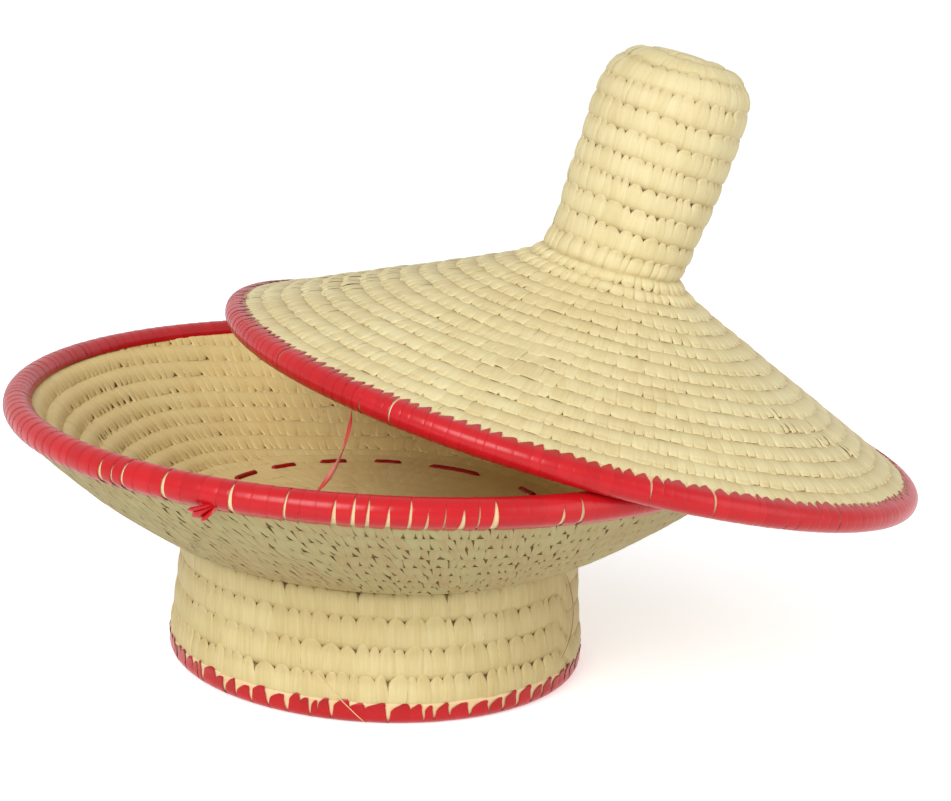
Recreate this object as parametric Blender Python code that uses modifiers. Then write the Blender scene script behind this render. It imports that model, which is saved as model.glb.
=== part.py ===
"""Coiled straw basket with a splayed foot and a conical lid that has a tall round handle.

The lid is laid ajar: it rests on the bowl's rim and slopes down beyond it towards +X.
Units are metres and +Z is up.
"""
import math

import bpy
from mathutils import Vector

# Bowl
rim_radius = 0.144          # axis to the middle of the rim's roll
rim_height = 0.1013         # ground to the middle of the rim's roll
rim_roll = 0.0056           # half width of the wrapped roll
wall_thickness = 0.0088
wall_belly = 0.0032         # how far the wall swells past a straight cone
wall_rounds = 9
floor_radius = 0.0772
floor_thickness = 0.0089
floor_rounds = 8

# Foot
foot_radius = 0.0781        # axis to the middle of the base round
foot_roll = 0.0050
foot_flat = 0.0005          # the base round is pressed flat by this much
foot_thickness = 0.0094
foot_belly_radius = 0.0834
foot_waist_radius = 0.0798
foot_round_height = 0.0104
foot_rounds = 4

# Red running stitch that holds the foot to the floor
stitch_width = 0.0018
stitch_rise = 0.0022
stitch_count = 16

# Lid, with its heights from the middle of its rim's roll
lid_radius = 0.1375
lid_roll = 0.0050
lid_outer_leg = 0.0050      # red leaf reaching up the top of the cone
lid_inner_leg = 0.0020      # red leaf reaching up its underside
lid_thickness = 0.0076
lid_rounds = 12
shoulder_radius = 0.0345    # where the straight cone gives way to the neck
shoulder_height = 0.0455
neck_radius = 0.0272
neck_height = 0.0515

# Handle
handle_base_height = 0.0565
handle_base_radius = 0.0282
handle_head_radius = 0.0300
handle_belly = 0.0008       # how far the handle swells past a straight taper
handle_thickness = 0.0086
handle_round_height = 0.0100
handle_rounds = 7
handle_crown = 0.0126       # height of the rounded top
handle_crown_radius = 0.0200
handle_side_step = 0.0029   # the handle stands this far off the lid's axis
handle_lean = math.radians(3.2)

# How the lid lies on the bowl
lid_shift = 0.0738
lid_tilt = math.radians(12.0)
seat_gap = 0.0003

# Loose end of the lid's red leaf, hanging into the bowl
strand_radius = 0.0005
strand_length = 0.038
strand_sway = 0.012
strand_azimuth = math.radians(222)

# Shared
leaf = 0.0009               # red leaf with its overlaps
groove = 0.0012             # depth between two rounds
gap = 0.0003                # clearance between pieces that touch
weld = 0.00005

ring_steps = 36
handle_steps = 28
roll_sides = 6
wrap_sides = 7
strand_points = 7


def start_scene():
    """Empty the scene and make the collection that holds the basket."""
    for old in list(bpy.data.objects):
        bpy.data.objects.remove(old, do_unlink=True)
    basket = bpy.data.collections.new("lidded_straw_basket")
    bpy.context.scene.collection.children.link(basket)
    return basket


def material(name, colour, roughness):
    """A plain finish for one sub-part."""
    finish = bpy.data.materials.new(name)
    finish.use_nodes = True
    shader = finish.node_tree.nodes["Principled BSDF"]
    shader.inputs["Base Color"].default_value = (*colour, 1.0)
    shader.inputs["Roughness"].default_value = roughness
    shader.inputs["Metallic"].default_value = 0.0
    return finish


def empty(name, place, tilt=0.0):
    """A guide that carries one group of sub-parts."""
    guide = bpy.data.objects.new(name, None)
    guide.location = place
    guide.rotation_euler = (0.0, tilt, 0.0)
    guide.hide_render = True
    basket.objects.link(guide)
    return guide


def clockwise(section):
    """The section's points in the order that puts a turned shape's faces outwards."""
    pairs = zip(section, section[1:] + section[:1])
    area = sum(a.x * b.y - b.x * a.y for a, b in pairs)
    return section[::-1] if area > 0 else section


def turned(name, section, steps, carrier, finish, closed=True):
    """Turn a section of (radius, height) points about the carrier's upright axis."""
    if closed:
        section = clockwise(section)
    edges = [(i, i + 1) for i in range(len(section) - 1)]
    if closed:
        edges.append((len(section) - 1, 0))
    mesh = bpy.data.meshes.new(name)
    mesh.from_pydata([(p.x, 0.0, p.y) for p in section], edges, [])
    piece = bpy.data.objects.new(name, mesh)
    basket.objects.link(piece)
    piece.parent = carrier
    screw = piece.modifiers.new("turn", "SCREW")
    screw.axis = "Z"
    screw.angle = math.tau
    screw.steps = screw.render_steps = steps
    screw.use_merge_vertices = True
    screw.merge_threshold = weld
    screw.use_smooth_shade = True
    mesh.materials.append(finish)
    return piece


def side_of(direction):
    """The unit vector a quarter turn from a path's direction, on its outer side."""
    return Vector((-direction.y, direction.x)).normalized()


def coiled_wall(centres, thickness, head, toe, ribbed_inside=False):
    """Section of a wall of stacked rounds, from top to bottom.

    head and toe hold the outer and the inner corner of the wall's two ends.
    A wall whose inside is out of sight is left smooth there.
    """
    half = thickness / 2
    outer, inner = [head[0]], [head[1]]
    for k, centre in enumerate(centres):
        before = centres[max(k - 1, 0)]
        after = centres[min(k + 1, len(centres) - 1)]
        side = side_of(after - before)
        outer.append(centre + side * half)
        if ribbed_inside:
            inner.append(centre - side * half)
        elif 0 < k < len(centres) - 1 and (after - centre).angle(centre - before) > bend:
            inner.append(centre - side * (half - groove))
        if k < len(centres) - 1:
            middle = (centre + after) / 2
            side = side_of(after - centre)
            outer.append(middle + side * (half - groove))
            if ribbed_inside:
                inner.append(middle - side * (half - groove))
    return outer + [toe[0], toe[1]] + inner[::-1]


def wrapping(centre, into, out, roll, opening, outer_leg=0.0, inner_leg=0.0):
    """Section of leaf wound round a roll and left open towards the wall.

    into points from the roll to its wall, out to the wall's outer side, and opening
    is the angle on each side of into that the leaf leaves free.
    """
    def arc(radius):
        sweep = math.tau - 2 * opening
        points = []
        for i in range(wrap_sides + 1):
            angle = opening + sweep * i / wrap_sides
            points.append(centre + (into * math.cos(angle) + out * math.sin(angle)) * radius)
        return points

    outside, inside = arc(roll), arc(roll - leaf)
    if outer_leg > 0.0:
        outside = [outside[0] + into * outer_leg] + outside + [outside[-1] + into * inner_leg]
        inside = [inside[0] + into * outer_leg] + inside + [inside[-1] + into * inner_leg]
    return outside + inside[::-1]


def roll_section(centre, radius):
    """Section of a round bundle of grass."""
    points = []
    for i in range(roll_sides):
        angle = math.tau * i / roll_sides
        points.append(centre + Vector((math.cos(angle), math.sin(angle))) * radius)
    return points


# Shares and angles, chosen by hand
bend = math.radians(8)
foot_opening = math.radians(35)
rim_opening = math.radians(50)
seat_share = 0.15
stitch_shares = (1.0, 1.0, 0.0, 0.0)
crown_radius_shares = (0.0, 0.45, 0.82, 1.0)
crown_height_shares = (0.90, 0.78, 0.52, 0.18)

# Heights and places that follow from the driving sizes
foot_base_middle = foot_roll - foot_flat
foot_wall_bottom = foot_base_middle + foot_roll * math.cos(foot_opening) + gap
foot_top = foot_wall_bottom + foot_rounds * foot_round_height
floor_bottom = foot_top + gap
floor_top = floor_bottom + floor_thickness
floor_pitch = floor_radius / floor_rounds
rim_core_radius = rim_roll - leaf - gap
foot_core_radius = foot_roll - leaf - gap
lid_core_radius = lid_roll - leaf - gap
rim_middle = Vector((rim_radius, rim_height))
wall_heel = Vector((floor_radius + gap + wall_thickness / 2, (floor_bottom + floor_top) / 2))
wall_slope = (wall_heel - rim_middle).normalized()
wall_run = (rim_middle - wall_heel).length - rim_core_radius - gap
wall_pitch = wall_run / (wall_rounds - 0.5)
lid_middle = Vector((lid_radius, 0.0))
shoulder = Vector((shoulder_radius, shoulder_height))
lid_slope = (shoulder - lid_middle).normalized()
lid_run = (shoulder - lid_middle).length - lid_core_radius - gap
handle_top = handle_base_height + handle_rounds * handle_round_height


def lid_height():
    """Height of the lid's middle where the two rims rest on each other.

    Seen from above the rims cross at two places, alike on both sides of the X axis.
    """
    fall = math.tan(lid_tilt)
    stretch = lid_shift / math.cos(lid_tilt) ** 2
    rest = stretch * lid_shift + rim_radius ** 2 - lid_radius ** 2
    x = rest / (stretch + math.sqrt(stretch ** 2 - fall ** 2 * rest))
    y = math.sqrt(rim_radius ** 2 - x ** 2)
    along_rim = Vector((-y, x, 0.0))
    from_middle = Vector((x - lid_shift, y, -(x - lid_shift) * fall))
    along_lid = Vector((math.sin(lid_tilt), 0.0, math.cos(lid_tilt))).cross(from_middle)
    square = along_rim.cross(along_lid).normalized()
    lift = (rim_roll + lid_roll + seat_gap) / abs(square.z)
    return rim_height + lift + (x - lid_shift) * fall


def build_foot(carrier):
    centres = []
    for k in range(foot_rounds):
        share = 1 - k / (foot_rounds - 1)
        crown = foot_waist_radius + (foot_belly_radius - foot_waist_radius) * (1 - share) ** 2
        height = foot_top - (k + 0.5) * foot_round_height
        centres.append(Vector((crown - foot_thickness / 2, height)))
    reach = foot_thickness / 2 - groove
    head = [Vector((centres[0].x + reach, foot_top)), Vector((centres[0].x - reach, foot_top))]
    low = centres[-1].x
    toe = [Vector((low + reach, foot_wall_bottom)), Vector((low - reach, foot_wall_bottom))]
    turned("foot_wall", coiled_wall(centres, foot_thickness, head, toe), ring_steps, carrier,
           material("foot_straw", (0.78, 0.68, 0.42), 0.65))

    middle = Vector((foot_radius, foot_base_middle))
    turned("foot_base_core", roll_section(middle, foot_core_radius), ring_steps, carrier,
           material("foot_base_grass", (0.62, 0.50, 0.28), 0.85))
    section = wrapping(middle, Vector((0.0, 1.0)), Vector((1.0, 0.0)), foot_roll, foot_opening)
    for point in section:
        point.y = max(point.y, 0.0)
    turned("foot_base_binding", section, ring_steps, carrier,
           material("foot_red_leaf", (0.62, 0.02, 0.04), 0.38))


def build_floor(carrier):
    top, low_top = floor_top, floor_top - groove
    section = [Vector((0.0, top))]
    for k in range(1, floor_rounds):
        section.append(Vector(((k - 0.5) * floor_pitch, top)))
        section.append(Vector((k * floor_pitch, low_top)))
    section.append(Vector(((floor_rounds - 0.5) * floor_pitch, top)))
    section.append(Vector((floor_radius, low_top)))
    section.append(Vector((floor_radius, floor_bottom)))
    section.append(Vector((0.0, floor_bottom)))
    turned("bowl_floor", section, ring_steps, carrier,
           material("floor_straw", (0.60, 0.49, 0.30), 0.70), closed=False)


def build_lashing(carrier):
    """Red leaf that runs over and under in the groove inside the floor's last round."""
    radius = floor_radius - floor_pitch
    low = floor_top - groove + gap + stitch_width / 2 + stitch_width * seat_share
    curve = bpy.data.curves.new("floor_lashing", "CURVE")
    curve.dimensions = "3D"
    curve.bevel_depth = stitch_width / 2
    curve.bevel_resolution = 1
    curve.use_fill_caps = True
    spline = curve.splines.new("POLY")
    spline.use_cyclic_u = True
    count = stitch_count * len(stitch_shares)
    spline.points.add(count - 1)
    for i in range(count):
        angle = math.tau * i / count
        rise = stitch_shares[i % len(stitch_shares)] * stitch_rise
        place = (radius * math.cos(angle), radius * math.sin(angle), low + rise, 1.0)
        spline.points[i].co = place
    curve.materials.append(material("lashing_red", (0.55, 0.03, 0.04), 0.50))
    piece = bpy.data.objects.new("floor_lashing", curve)
    piece.parent = carrier
    basket.objects.link(piece)


def build_wall(carrier):
    centres = []
    for k in range(wall_rounds):
        along = rim_core_radius + gap + (k + 0.5) * wall_pitch
        share = along / (wall_run + rim_core_radius + gap)
        swell = wall_belly * 4 * share * (1 - share)
        centres.append(rim_middle + wall_slope * along + side_of(wall_slope) * swell)
    lip = rim_middle + wall_slope * (rim_core_radius + gap)
    reach = side_of(wall_slope) * (wall_thickness / 2 - groove)
    head = [lip + reach, lip - reach]
    toe = [Vector((floor_radius + gap, floor_bottom)), Vector((floor_radius + gap, floor_top))]
    section = coiled_wall(centres, wall_thickness, head, toe, ribbed_inside=True)
    turned("bowl_wall", section, ring_steps, carrier,
           material("bowl_straw", (0.66, 0.58, 0.38), 0.68))


def build_rim(carrier):
    turned("bowl_rim_core", roll_section(rim_middle, rim_core_radius), ring_steps, carrier,
           material("rim_grass", (0.62, 0.50, 0.28), 0.85))
    section = wrapping(rim_middle, wall_slope, side_of(wall_slope), rim_roll, rim_opening)
    turned("bowl_rim_binding", section, ring_steps, carrier,
           material("rim_red_leaf", (0.62, 0.02, 0.04), 0.35))


def build_cone(carrier):
    top = Vector((neck_radius, handle_base_height - gap))
    neck = Vector((neck_radius, neck_height))
    centres = [neck]
    pitch = lid_run / lid_rounds
    for k in range(lid_rounds):
        centres.append(shoulder - lid_slope * (k + 0.5) * pitch)
    brim = lid_middle + lid_slope * (lid_core_radius + gap)
    reach = side_of(-lid_slope) * (lid_thickness / 2 - groove)
    half = Vector((lid_thickness / 2 - groove, 0.0))
    head = [top + half, top - half]
    toe = [brim + reach, brim - reach]
    turned("lid_cone", coiled_wall(centres, lid_thickness, head, toe), ring_steps, carrier,
           material("lid_straw", (0.76, 0.66, 0.41), 0.65))


def build_lid_rim(carrier):
    turned("lid_rim_core", roll_section(lid_middle, lid_core_radius), ring_steps, carrier,
           material("lid_rim_grass", (0.62, 0.50, 0.28), 0.85))
    section = wrapping(lid_middle, lid_slope, side_of(-lid_slope), lid_roll, math.pi / 2,
                       lid_outer_leg, lid_inner_leg)
    turned("lid_rim_binding", section, ring_steps, carrier,
           material("lid_red_leaf", (0.62, 0.02, 0.04), 0.35))


def leaned(point):
    """Where a point of an upright handle lies once the handle leans towards +X.

    The handle bends over its lowest round and is straight above it.
    """
    height = point.z - handle_base_height
    bent = min(height, handle_round_height)
    straight = height - bent
    share = bent / handle_round_height
    angle = handle_lean * share
    along_x = bent * math.sin(angle / 2) + straight * math.sin(angle)
    along_z = bent * math.cos(angle / 2) + straight * math.cos(angle)
    x = handle_side_step * share + along_x + point.x * math.cos(angle)
    z = handle_base_height + along_z - point.x * math.sin(angle)
    return Vector((x, point.y, z))


def lean(piece):
    """Give an upright turned piece the handle's lean, on its finished mesh."""
    bpy.context.view_layer.update()
    graph = bpy.context.evaluated_depsgraph_get()
    mesh = bpy.data.meshes.new_from_object(piece.evaluated_get(graph))
    mesh.name = piece.name
    for vertex in mesh.vertices:
        vertex.co = leaned(vertex.co)
    piece.modifiers.clear()
    piece.data = mesh


def build_handle(carrier):
    half = handle_thickness / 2
    centres = []
    for k in range(handle_rounds):
        share = 1 - (k + 0.5) / handle_rounds
        crown = handle_base_radius + (handle_head_radius - handle_base_radius) * share
        crown += handle_belly * 4 * share * (1 - share)
        height = handle_top - (k + 0.5) * handle_round_height
        centres.append(Vector((crown - half, height)))
    reach = half - groove
    head_x, toe_x = centres[0].x, centres[-1].x
    head = [Vector((head_x + reach, handle_top)), Vector((head_x - reach, handle_top))]
    toe = [Vector((toe_x + reach, handle_base_height)), Vector((toe_x - reach, handle_base_height))]
    straw = material("handle_straw", (0.80, 0.70, 0.43), 0.62)
    lean(turned("handle_wall", coiled_wall(centres, handle_thickness, head, toe), handle_steps,
                carrier, straw))

    base = handle_top + gap
    rim = head_x + reach
    section = [Vector((0.0, base + handle_crown))]
    for share, rise_share in zip(crown_radius_shares, crown_height_shares):
        radius = handle_crown_radius + (handle_head_radius - handle_crown_radius) * share
        section.append(Vector((radius, base + handle_crown * rise_share)))
    section.append(Vector((rim, base)))
    section.append(Vector((0.0, base)))
    lean(turned("handle_cap", section, handle_steps, carrier,
                material("handle_cap_straw", (0.80, 0.70, 0.43), 0.62), closed=False))


def build_strand(carrier):
    """Loose end of leaf that hangs straight down from under the lid's rim."""
    start = Vector((lid_radius * math.cos(strand_azimuth), lid_radius * math.sin(strand_azimuth), 0))
    down = Vector((math.sin(lid_tilt), 0.0, -math.cos(lid_tilt)))
    start += down * (lid_roll + gap + strand_radius)
    curve = bpy.data.curves.new("loose_red_strand", "CURVE")
    curve.dimensions = "3D"
    curve.bevel_depth = strand_radius
    curve.bevel_resolution = 1
    curve.use_fill_caps = True
    spline = curve.splines.new("POLY")
    spline.points.add(strand_points - 1)
    for i in range(strand_points):
        share = i / (strand_points - 1)
        place = start + down * strand_length * share
        place.x -= strand_sway * share ** 2
        spline.points[i].co = (*place, 1.0)
    curve.materials.append(material("strand_red", (0.60, 0.05, 0.06), 0.45))
    piece = bpy.data.objects.new("loose_red_strand", curve)
    piece.parent = carrier
    basket.objects.link(piece)


basket = start_scene()
lid_reach = lid_shift + lid_radius * math.cos(lid_tilt) + lid_roll
bowl_x = (rim_radius + rim_roll - lid_reach) / 2
bowl_axis = empty("bowl_axis", (bowl_x, 0.0, 0.0))
lid_frame = empty("lid_frame", (bowl_x + lid_shift, 0.0, lid_height()), lid_tilt)
build_foot(bowl_axis)
build_floor(bowl_axis)
build_lashing(bowl_axis)
build_wall(bowl_axis)
build_rim(bowl_axis)
build_cone(lid_frame)
build_lid_rim(lid_frame)
build_handle(lid_frame)
build_strand(lid_frame)
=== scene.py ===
"""Looks of the lidded straw basket.

Every leaf stitch of the coiling is laid as a strip of its own over the coil, and red leaf is wound
over the three round edges. Lengths are metres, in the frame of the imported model.
"""
import math

import bpy
import numpy as np
from mathutils import Matrix, Vector


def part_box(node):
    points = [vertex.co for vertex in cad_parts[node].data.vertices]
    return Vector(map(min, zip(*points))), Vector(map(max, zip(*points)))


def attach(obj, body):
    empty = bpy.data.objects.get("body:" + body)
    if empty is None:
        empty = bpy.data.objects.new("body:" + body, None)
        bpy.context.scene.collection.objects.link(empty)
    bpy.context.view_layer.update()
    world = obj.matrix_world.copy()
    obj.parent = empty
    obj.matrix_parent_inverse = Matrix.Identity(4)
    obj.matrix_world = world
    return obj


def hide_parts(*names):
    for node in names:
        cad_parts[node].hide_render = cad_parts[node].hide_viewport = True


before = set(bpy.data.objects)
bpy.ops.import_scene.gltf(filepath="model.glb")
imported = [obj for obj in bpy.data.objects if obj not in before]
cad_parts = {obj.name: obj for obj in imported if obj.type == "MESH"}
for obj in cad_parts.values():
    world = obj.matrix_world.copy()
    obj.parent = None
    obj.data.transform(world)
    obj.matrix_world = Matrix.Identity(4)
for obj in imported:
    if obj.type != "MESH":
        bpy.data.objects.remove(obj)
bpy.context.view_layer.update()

# Bowl and foot
rim_radius = 0.144
rim_roll = 0.0056
wall_half = 0.0044
wall_belly = 0.0032
wall_pitch = 0.00854
floor_radius = 0.0772
floor_middle = 0.05525
floor_half = 0.00445
floor_pitch = 0.00965
foot_top = 0.0505
foot_radius = 0.0781
foot_roll = 0.0050
foot_flat = 0.0005
foot_half = 0.0047
foot_pitch = 0.0104
foot_waist = 0.0798
foot_belly = 0.0834

# Lid and handle, in the lid's own frame, with heights from the middle of its rim
lid_tilt = math.radians(12.0)
lid_radius = 0.1375
lid_roll = 0.0050
cone_half = 0.0038
cone_pitch = 0.0078
neck_pitch = 0.0066
shoulder = (0.0357, 0.0459)
neck = (0.0272, 0.0515)
handle_base = 0.0565
handle_top = 0.1265
handle_half = 0.0043
handle_pitch = 0.00915
handle_radii = (0.0282, 0.0299, 0.0303)     # outside, at the foot, the middle and the head
crown_height = 0.0156
crown_pitch = 0.0079
crown_level = 0.05          # how much less the crown slopes than the handle leans
handle_step = 0.0020
handle_lean = math.radians(3.8)
handle_bend = 0.0100        # the handle bends over this height and is straight above it

# Loose ends and the lashing through the floor
strand_degrees = 223.0
strand_length = 0.038
strand_swing = 0.015
strand_width = 0.0018
strand_thick = 0.0007
wisp_drop = 0.0046          # from the middle of the rim down to where the red wisp hangs
dash_count = 18
dash_start = 147.0
dash_height = 0.0596
dash_width = 0.0030
long_dash = 4
long_dash_share = 1.7

# How the leaf strips lie on every surface
quiet_rounds = 1.5          # at both ends of a coil, where its rounds wander less
flat_share = 0.8            # how much of a round's swell is lost where the stitching is flat
flat_ends = 0.7             # how much less the ends of the strips bend in there
tip_press = 0.0005          # how far the sides of a tip are pressed in
wedge_radius = 0.03         # nearer the axis than this, strips are more and more like wedges
tip_end = 0.06              # the share of a strip over which its tip bends in
tuck_start = 0.90           # where in its round a strip starts to go under, and over what share
tuck_span = 0.16
edge_power = 2.2            # how late towards its edges a strip falls off
very_edge = 0.99            # beyond this share of its half width, a strip's edge is pressed in
shaded_end = 0.2              # the share of a round over which painted shade darkens the far end of a strip
grain_length = 2.3          # length of a strip for its grain, in half thicknesses of the coil

# How the wound leaf lies on every edge
outer_press = 0.0007        # how far its two ends are pressed in, and over what share of its length
outer_end = 0.03
inner_press = 0.0012
inner_end = 0.05
lining_depth = 0.0005       # from the red leaf down to the pale leaf

# Camera, fitted to the photograph's outlines
picture_wide = 951
focal_pixels = 2199.9
camera_distance = 0.8459    # from the bowl's axis
camera_height = 0.3114
camera_turn = 0.1260        # round the bowl's axis, from straight in front
camera_yaw = 0.0406
camera_pitch = 0.2382
camera_roll = 0.0630


def middle_of(node):
    """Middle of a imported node's box."""
    low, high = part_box(node)
    return (low + high) / 2


bowl_place = Matrix.Translation((middle_of("bowl_rim_core").x, 0.0, 0.0))
rim_height = middle_of("bowl_rim_core").z
lid_place = Matrix.Translation(middle_of("lid_rim_core")) @ Matrix.Rotation(lid_tilt, 4, "Y")


# Lines and shares

def eased(outline, cuts=3):
    """Cut the corners of an open outline, so that it bends softly."""
    line = np.asarray(outline, float)
    for _ in range(cuts):
        near, far = line[:-1], line[1:]
        pairs = np.stack([near * 0.75 + far * 0.25, near * 0.25 + far * 0.75], axis=1)
        line = np.vstack([line[:1], pairs.reshape(-1, line.shape[1]), line[-1:]])
    return line


def steps_of(line):
    """Distances from each point of an open line to the next."""
    return np.linalg.norm(np.diff(line, axis=0), axis=1)


def run_along(values):
    """Running sum from 0."""
    return np.concatenate([[0.0], np.cumsum(values)])


def headings(line):
    """Unit directions along an open line, at its points."""
    slope = np.gradient(line, axis=0)
    return slope / np.linalg.norm(slope, axis=1)[:, None]


def left_of(heading):
    """Unit directions a quarter turn to the left of those given."""
    return np.column_stack([-heading[:, 1], heading[:, 0]])


def smooth(share):
    """Soft step from 0 to 1."""
    share = np.clip(share, 0.0, 1.0)
    return share * share * (3 - 2 * share)


def turn_from(angle, degrees, reach):
    """How far an angle is from a direction, in shares of a reach in degrees."""
    return np.angle(np.exp(1j * (angle - math.radians(degrees)))) / math.radians(reach)


def relief(share, crest, fullness):
    """How far a round swells at a share of its width: 0 in the grooves and 1 on the crest."""
    share = np.clip(share, 0.0, 1.0) ** (math.log(0.5) / math.log(crest))
    return 1 - np.abs(2 * share - 1) ** fullness


def flattened(rises, flat):
    """The swell of a round where the stitching is flat."""
    return 1 - (1 - rises) * (1 - flat_share * flat)


class Coil:
    """A coiled wall. Its outline is a list of (radius, height, pitch, half thickness).

    Its rounds are level rings that all step over to the next within one short stretch, the join.
    """

    def __init__(self, outline, seed, join=95.0, join_span=50.0):
        self.join = math.radians(join)
        self.join_span = math.radians(join_span)
        self.line = eased(outline)
        pitch = (self.line[1:, 2] + self.line[:-1, 2]) / 2
        rounds = run_along(steps_of(self.line[:, :2]) / pitch)
        self.count = max(1, round(rounds[-1]))
        self.rounds = rounds * self.count / rounds[-1]
        self.side = left_of(headings(self.line[:, :2]))
        rng = np.random.default_rng(seed)
        self.waves = [(turns, rng.uniform(0.5, 2.5), rng.uniform(0, math.tau)) for turns in (1, 2, 3, 5, 8)]

    def read(self, column, rounds):
        return np.interp(rounds, self.rounds, column)

    def radius(self, rounds):
        return self.read(self.line[:, 0], rounds)

    def half(self, rounds):
        return self.read(self.line[:, 3], rounds)

    def start(self, turns):
        """Where the round that passes at this many turns begins, counted in rounds."""
        whole = np.floor(turns)
        return whole + smooth(((turns - whole) * math.tau - self.join) / self.join_span)

    def turns(self, rounds):
        """How many turns the coil has made when a round begins. The ends take in the whole join."""
        share = 0.5 if 0 < rounds < self.count else float(rounds > 0)
        return rounds - 1 + (self.join + self.join_span * share) / math.tau

    def wave(self, rounds, angle, shift):
        """An even wandering between about -1 and 1, so that no two rounds are alike."""
        total = 0.0
        for turns, rate, phase in self.waves:
            total = total + np.sin(turns * angle + rate * rounds + phase + shift)
        return total / len(self.waves)

    def place(self, rounds, angle, height, drift=0.0, swell=0.0):
        """Points at a height above the middle line."""
        inside = smooth(rounds / quiet_rounds) * smooth((self.count - rounds) / quiet_rounds)
        rounds = rounds + drift * inside * self.wave(rounds, angle, 0.0)
        height = height + np.sign(height) * swell * inside * self.wave(rounds, angle, 2.0)
        radius = self.radius(rounds) + self.read(self.side[:, 0], rounds) * height
        up = self.read(self.line[:, 1], rounds) + self.read(self.side[:, 1], rounds) * height
        return np.stack([radius * np.cos(angle), radius * np.sin(angle), up + 0.0 * angle], axis=-1)


# Leaf strips over the coils

class Stitch:
    """How the leaf strips of one surface lie. Lengths along a strip are shares of a round."""

    crest = 0.5             # where in the round it stands highest, from its tips
    fullness = 2.4          # 2 for a round back, more for a flat one
    outward = False         # whether the tips point away from the coil's start
    uneven = 0.14           # spread of the widths
    overlap = 0.06          # share of its neighbour that a strip covers
    tip = 0.16              # how far a tip reaches over the next round
    tip_spread = 0.35
    arch = 0.36             # how long the part is that narrows to the tip
    arch_power = 1.7
    tip_width = 0.30
    end_spread = 0.0
    skew = 0.0              # how far one corner of a tip reaches beyond the other
    bridge = 0.42           # relief under the tip
    fade = 0.6              # how far from the tip a strip's edges show
    tail = 0.06             # how far the other end reaches past its round
    slant = 0.06
    slant_spread = 0.08
    edge = 0.00030          # how much lower its edges lie near the tip, and elsewhere
    far_edge = 0.00005
    lap = 0.00008           # how much higher one side lies than the middle
    sink = 0.00010          # how far the very edges are pressed in, away from the tips
    dip = 0.0008            # how far a tip bends in at its very end
    tuck = 0.0010           # how far the other end goes under the tips of the round before
    far_end_shade = 0.0              # how much painted shade darkens a strip towards its far end
    stain = 0.0             # how much darker it is where the stitching is flat
    lift = 0.00025          # how far a strip rises towards its tip
    spread = 0.00008        # how far whole strips lie higher or lower than others
    gap_chance = 0.05       # the share of strips with a slit beside them
    gap = 0.22
    gap_reach = 0.8
    drift = 0.05            # how far its rounds wander along the wall, in rounds
    swell = 0.0003          # how far they wander in and out, in metres
    across = (-1.0, -0.9, -0.5, 0.0, 0.5, 0.9, 1.0)
    along = (0.0, 0.03, 0.08, 0.15, 0.23, 0.32, 0.45, 0.60, 0.76, 0.90, 1.0)
    spots = ()              # (degrees, round, reach in degrees, reach in rounds, flattening, opening)

    def __init__(self, width, groove, **changes):
        self.width = width
        self.groove = groove        # depth between two rounds
        vars(self).update(changes)


def spot_shares(stitch, rounds, angle):
    """How flat and how open the stitching is, from the spots where the maker's hand varied."""
    flat, opened = 0.0, 0.0
    for degrees, spot_round, reach, deep, flatten, opening in stitch.spots:
        share = np.exp(-turn_from(angle, degrees, reach) ** 2 - ((rounds - spot_round) / deep) ** 2)
        flat = np.maximum(flat, np.minimum(share * flatten, 1.0))
        opened = np.maximum(opened, share * opening)
    return flat, opened


def stitch_turns(coil, first, last, stitch, rng):
    """Where along the coil each strip lies, and how wide it is."""
    turns, widths = [], []
    turn, end = coil.turns(first), coil.turns(last)
    while turn < end:
        width = stitch.width * (1 + stitch.uneven * rng.uniform(-1.0, 1.0))
        radius = max(float(coil.radius(max(coil.start(turn), 0.0) + 0.5)), stitch.width / 2)
        step = width / (math.tau * radius)
        turns.append(turn + step / 2)
        widths.append(width)
        turn += step
    return np.array(turns)[:, None, None], np.array(widths)[:, None, None]


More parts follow.
